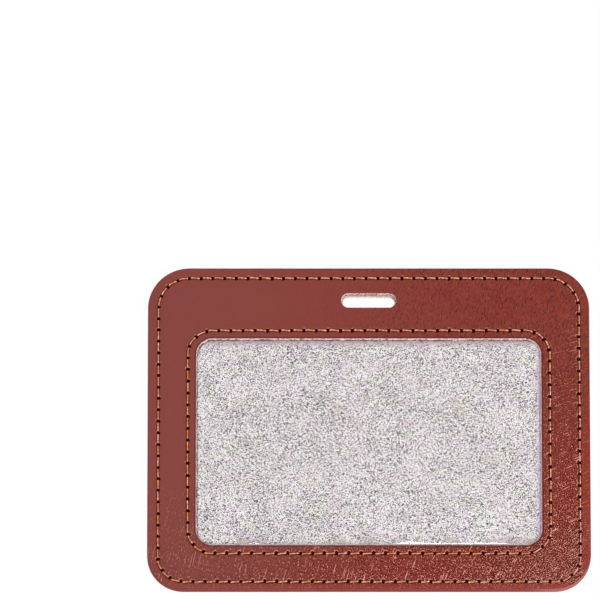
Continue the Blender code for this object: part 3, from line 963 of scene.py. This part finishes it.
def cut_edge():
    """Pale pink backing of the front where it is cut, with painted shade where it meets the sheet below."""
    p = Paint("leather_cut_edge")
    fibres = p.spots(0.5, 0.3, 0.4, 1, 2)
    p.tone = p.mix(p.band(fibres, 0.38, 0.54), (0.34, 0.10, 0.09), (0.88, 0.62, 0.60))
    # Painted shade at the foot of the cut wall, where it meets the sheet below; weaker beside the slot and
    # at the right, where the lamps reach
    joint = p.plus(p.z, p.times(p.minus(p.spots(1.0, seed=3), 0.5), 1.8 * MM))
    joint = p.band(joint, FRONT_LOW + 0.36 * MM, FRONT_LOW + 0.22 * MM)
    beside_slot = p.band(p.y, WINDOW.top + 2 * MM, WINDOW.top + 3 * MM, 1.0, 0.6)
    right = p.band(p.x, WINDOW.half - 3 * MM, WINDOW.half - 1 * MM, 1.0, 0.2)
    p.coat(p.times(joint, beside_slot, right), (0.03, 0.010, 0.008))
    return p.surface(0.9, Normal=p.bump(fibres, 0.08))


def rear_cut_edge():
    """Cream backing of the rear leather where it is cut."""
    p = Paint("rear_cut_edge")
    fibres = p.spots(0.6, 0.3, 0.2, 1, 2)
    p.tone = p.mix(p.band(fibres, 0.32, 0.55), (0.62, 0.48, 0.42), (0.97, 0.93, 0.86))
    return p.surface(0.9, Normal=p.bump(fibres, 0.05))


def painted_edge():
    p = Paint("edge_paint")
    lumps = p.spots(1.6, 0.5, seed=1)
    fine = p.spots(0.2, seed=2, detail=3)
    p.tone = p.mix(p.band(lumps, 0.3, 0.7), (0.22, 0.036, 0.030), (0.26, 0.046, 0.038))
    # Darker low down: painted shade where the edge meets the floor
    p.wash(p.z, 0.55 * MM, 0.15 * MM, 0.7, (0.10, 0.015, 0.012))
    # Paler at the lower right corner: a painted highlight where the edge faces the key lamp
    p.wash(p.slope(53 * MM, 40 * MM), 1.68, 1.84, 0.55, (0.50, 0.17, 0.17))
    relief = p.bump(fine, 0.02, p.bump(lumps, 0.03))
    rough = p.band(fine, 0.3, 0.7, 0.6, 0.75)
    return p.surface(rough, Specular_IOR_Level=0.05, Normal=relief)


def yarn(name, level, inward):
    """Thread, tan, pink or orange by the stitch, with a painted highlight and then painted shade as it
    enters a hole.
    """
    p = Paint(name)
    # Mostly tan above, pinker or more orange lower down and at the left
    warm = p.plus(p.band(p.y, 10 * MM, 24 * MM, 0.3, 0.0), p.band(p.x, -38 * MM, -42 * MM, 0.0, 0.2))
    dye = p.plus(p.times(p.mark("dye"), 0.55), warm)
    strand = p.spots(0.5, 0.1, 0.8, 2, 1)
    p.tone = p.mix(p.band(dye, 0.36, 0.46), (1.0, 0.47, 0.24), (1.0, 0.45, 0.36))
    p.wash(dye, 0.64, 0.74, 1.0, (1.0, 0.32, 0.12))
    dull = p.band(p.spots(0.75, 0.5, 0.5, 6, 0), 0.60, 0.50, 0.0, 0.75)
    p.coat(dull, (0.48, 0.115, 0.05))
    p.wash(strand, 0.4, 0.7, 0.25, (0.40, 0.08, 0.03))
    # Painted highlight near both ends of each stitch, where the thread bends down to its hole
    p.coat(p.times(p.mark("painted_highlight"), 0.4), (1.0, 0.62, 0.48))
    # Painted shade where the thread goes down into its hole
    down = p.times(p.minus(level, p.z), inward)
    p.wash(down, 0.16 * MM, 0.34 * MM, 1.0, (0.09, 0.005, 0.002))
    rough = p.band(strand, 0.3, 0.7, 0.34, 0.5)
    gloss = p.band(down, 0.10 * MM, 0.25 * MM, 0.3, 0.0)
    relief = p.bump(strand, 0.02)
    return p.surface(rough, Specular_IOR_Level=gloss, Normal=relief)


def nonwoven():
    """White felt: bright strokes with painted shade in the gaps between them, softly patchy and faintly
    tinted.
    """
    p = Paint("white_nonwoven")
    level = p.spots(0.33, 0.19, 0.08, 1, 0)
    cross = p.spots(0.29, 0.19, 0.8, 2, 0)
    lean = p.spots(0.29, 0.19, -0.7, 5, 0)
    weave = p.larger(p.larger(level, cross), lean)
    patch = p.spots(8, seed=3, detail=3, rough=0.6)
    weave = p.plus(weave, p.band(patch, 0.3, 0.7, -0.022, 0.015))
    grit = p.times(p.minus(p.spots(0.2, seed=15, detail=0), 0.5), 0.3)
    weave = p.plus(weave, grit)
    # Painted shade in the near-black gaps between the strokes
    p.tone = p.mix(p.band(weave, 0.558, 0.588), (0.004, 0.003, 0.003), (0.86, 0.81, 0.815))
    p.wash(p.spots(7, seed=11), 0.55, 0.75, 0.05, (0.72, 0.60, 0.82))
    p.wash(p.spots(8, seed=12), 0.55, 0.75, 0.04, (0.66, 0.80, 0.64))
    p.wash(p.spots(5, seed=13), 0.54, 0.70, 0.22, (0.52, 0.42, 0.34))
    # Purple beside the window's right edge, and painted shade under its upper edge, where the wall above
    # shades the cloth
    p.wash(p.x, WINDOW.half - 1.4 * MM, WINDOW.half - 0.4 * MM, 0.45, (0.78, 0.52, 0.85))
    p.wash(p.y, WINDOW.top - 2.2 * MM, WINDOW.top - 0.4 * MM, 0.6, (0.44, 0.30, 0.34))
    # Painted shade in a broken line at the foot of the left wall, and a painted highlight in a line along
    # the lower edge
    broken = p.band(p.spots(0.8, seed=16), 0.44, 0.50)
    foot = p.times(p.band(p.inside(WINDOW), 0.52 * MM, 0.40 * MM), broken)
    p.coat(p.times(foot, p.band(p.x, -38 * MM, -40 * MM, 0.0, 0.85)), (0.05, 0.035, 0.035))
    p.wash(p.y, WINDOW.bottom + 0.78 * MM, WINDOW.bottom + 0.66 * MM, 0.75, (1.0, 0.80, 0.80))
    # Darker in places just above the lower edge
    above = p.band(p.y, WINDOW.bottom + 0.7 * MM, WINDOW.bottom + 0.9 * MM)
    lower_edge_darkening = p.times(p.band(p.y, WINDOW.bottom + 3.0 * MM, WINDOW.bottom + 1.2 * MM, 0.0, 0.5), above)
    lower_edge_darkening = p.times(lower_edge_darkening, p.band(p.spots(6, seed=14), 0.44, 0.54))
    p.coat(lower_edge_darkening, (0.42, 0.28, 0.27))
    return p.surface(0.8, Normal=p.bump(weave, 0.15))


def white_fibre():
    p = Paint("white_fibre")
    dust = p.spots(0.4, seed=1)
    p.tone = p.mix(p.mark("shade"), (0.70, 0.68, 0.70), (0.89, 0.88, 0.88))
    p.wash(dust, 0.55, 0.75, 0.4, (0.52, 0.49, 0.50))
    return p.surface(0.6)


def clear_plastic():
    """Clear film: it lets light through and shines by its angle."""
    p = Paint("clear_film")
    hue = p.spots(5, 2.5, seed=4)
    tint = p.mix(p.band(hue, 0.4, 0.65), (0.995, 0.985, 1.0), (0.99, 1.0, 0.985))
    clear = p.node("BsdfTransparent", Color=tint).outputs[0]
    ripple = p.bump(p.spots(3.5, 1.6, 0.1, 6, 1), 0.008)
    shine = p.node("BsdfGlossy", Color=(1, 1, 1, 1), Roughness=0.07, Normal=ripple).outputs[0]
    # The same share on both faces of the film: a Fresnel node turns its IOR over behind a face
    behind = p.node("NewGeometry").outputs["Backfacing"]
    share = p.node("Fresnel", IOR=p.band(behind, 0.0, 1.0, FILM_IOR, 1 / FILM_IOR)).outputs[0]
    return p.blend(share, clear, shine)


def grey_board():
    p = Paint("grey_board")
    fibres = p.spots(0.8, 0.2, 0.0, 1, 3)
    flecks = p.band(p.spots(0.6, seed=2), 0.56, 0.66)
    p.tone = p.mix(p.band(fibres, 0.3, 0.7), (0.55, 0.48, 0.46), (0.80, 0.74, 0.72))
    p.coat(p.times(flecks, 0.7), (0.10, 0.06, 0.05))
    return p.surface(0.92, Normal=p.bump(fibres, 0.03))


def seen_directly(tree):
    """1 for what the camera sees directly, in gloss or through clear pieces."""
    path = tree.nodes.new("ShaderNodeLightPath")
    seen = path.outputs["Is Camera Ray"]
    for name in ("Is Glossy Ray", "Is Transmission Ray"):
        larger = tree.nodes.new("ShaderNodeMath")
        larger.operation = "MAXIMUM"
        tree.links.new(seen, larger.inputs[0])
        tree.links.new(path.outputs[name], larger.inputs[1])
        seen = larger.outputs[0]
    return seen


def floor():
    p = Paint("white_floor")
    lit = p.node("BsdfPrincipled", Base_Color=(0.9, 0.9, 0.9, 1.0), Roughness=0.9).outputs[0]
    glow = p.node("Emission", Color=(1, 1, 1, 1), Strength=1.0).outputs[0]
    half, level = 3.0, -0.03 * MM
    corners = [(-half, -half, level), (half, -half, level), (half, half, level), (-half, half, level)]
    mesh = bpy.data.meshes.new("floor")
    mesh.from_pydata(corners, [], [(0, 1, 2, 3)])
    mesh.materials.append(p.blend(p.times(seen_directly(p.tree), FLOOR_GLOW), lit, glow))
    made = linked("floor", mesh)


def world():
    made = bpy.data.worlds.new("studio")
    made.use_nodes = True
    tree = made.node_tree
    strength = tree.nodes.new("ShaderNodeMapRange")
    tree.links.new(seen_directly(tree), strength.inputs[0])
    strength.inputs[3].default_value = AMBIENT
    strength.inputs[4].default_value = 1.0
    back = tree.nodes["Background"]
    back.inputs["Color"].default_value = (1, 1, 1, 1)
    tree.links.new(strength.outputs[0], back.inputs["Strength"])
    bpy.context.scene.world = made


def aimed(name, data, place, toward):
    """A light or camera at this place that faces this direction."""
    made = linked(name, data)
    made.location = place
    made.rotation_mode = "QUATERNION"
    made.rotation_quaternion = toward.to_track_quat("-Z", "Y")
    return made


def softbox(name, place, size, power):
    lamp = bpy.data.lights.new(name, "AREA")
    lamp.shape = "RECTANGLE"
    lamp.size, lamp.size_y = size
    lamp.energy = power
    aimed(name, lamp, place, -Vector(place)).visible_camera = False


def camera():
    """The photograph's view: square to the width, steep from above, through a very long lens."""
    back = Vector((0, -math.cos(CAMERA_TILT), math.sin(CAMERA_TILT)))
    up = Vector((0, math.sin(CAMERA_TILT), math.cos(CAMERA_TILT)))
    low, high = cad_box
    target = (low + high) / 2 + Vector((AIM_X, 0, 0)) + up * AIM_UP
    data = bpy.data.cameras.new("camera")
    data.sensor_width = SENSOR_WIDTH
    data.lens = SENSOR_WIDTH * CAMERA_DISTANCE / PICTURE_WIDTH
    data.clip_start, data.clip_end = 0.1, 20.0
    bpy.context.scene.camera = aimed("camera", data, target + back * CAMERA_DISTANCE, -back)


def stitching():
    needle_yarn, bobbin_yarn = yarn("needle_thread", FACE, 1.0), yarn("bobbin_thread", BOBBIN_LEVEL, -1.0)
    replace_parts(needle_stitches("outer_needle_stitches", OUTER, needle_yarn), "outer_needle_thread")
    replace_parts(needle_stitches("inner_needle_stitches", INNER, needle_yarn), "inner_needle_thread")
    rear = OUTER.stitch_paths(REAR_PRESS * HOLE_DEPTH, BOBBIN_LEVEL)
    rear = twisted("outer_bobbin_stitches", rear, bobbin_yarn, BOBBIN_FLATNESS, 5)
    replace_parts(rear, "outer_bobbin_thread")
    level = (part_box("inner_bobbin_thread")[0].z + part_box("inner_bobbin_thread")[1].z) / 2
    hidden = INNER.stitch_paths(level, level)
    hidden = twisted("inner_bobbin_stitches", hidden, bobbin_yarn, BOBBIN_FLATNESS, 5)
    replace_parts(hidden, "inner_bobbin_thread")


def build():
    bpy.context.scene.view_settings.view_transform = "Standard"
    camera()
    world()
    for settings in SOFTBOXES:
        softbox(*settings)
    floor()

    front_leather([leather_face("leather_front", FACE, 1.0, 0.02, 2), cut_edge()])
    rear_leather([leather_face("leather_rear", 0.0, -1.0, 0.2, 1), rear_cut_edge()])
    edge_paint(painted_edge())
    stitching()
    board(grey_board())
    lining(nonwoven())
    lining_fibres(white_fibre())
    film(clear_plastic())


build()
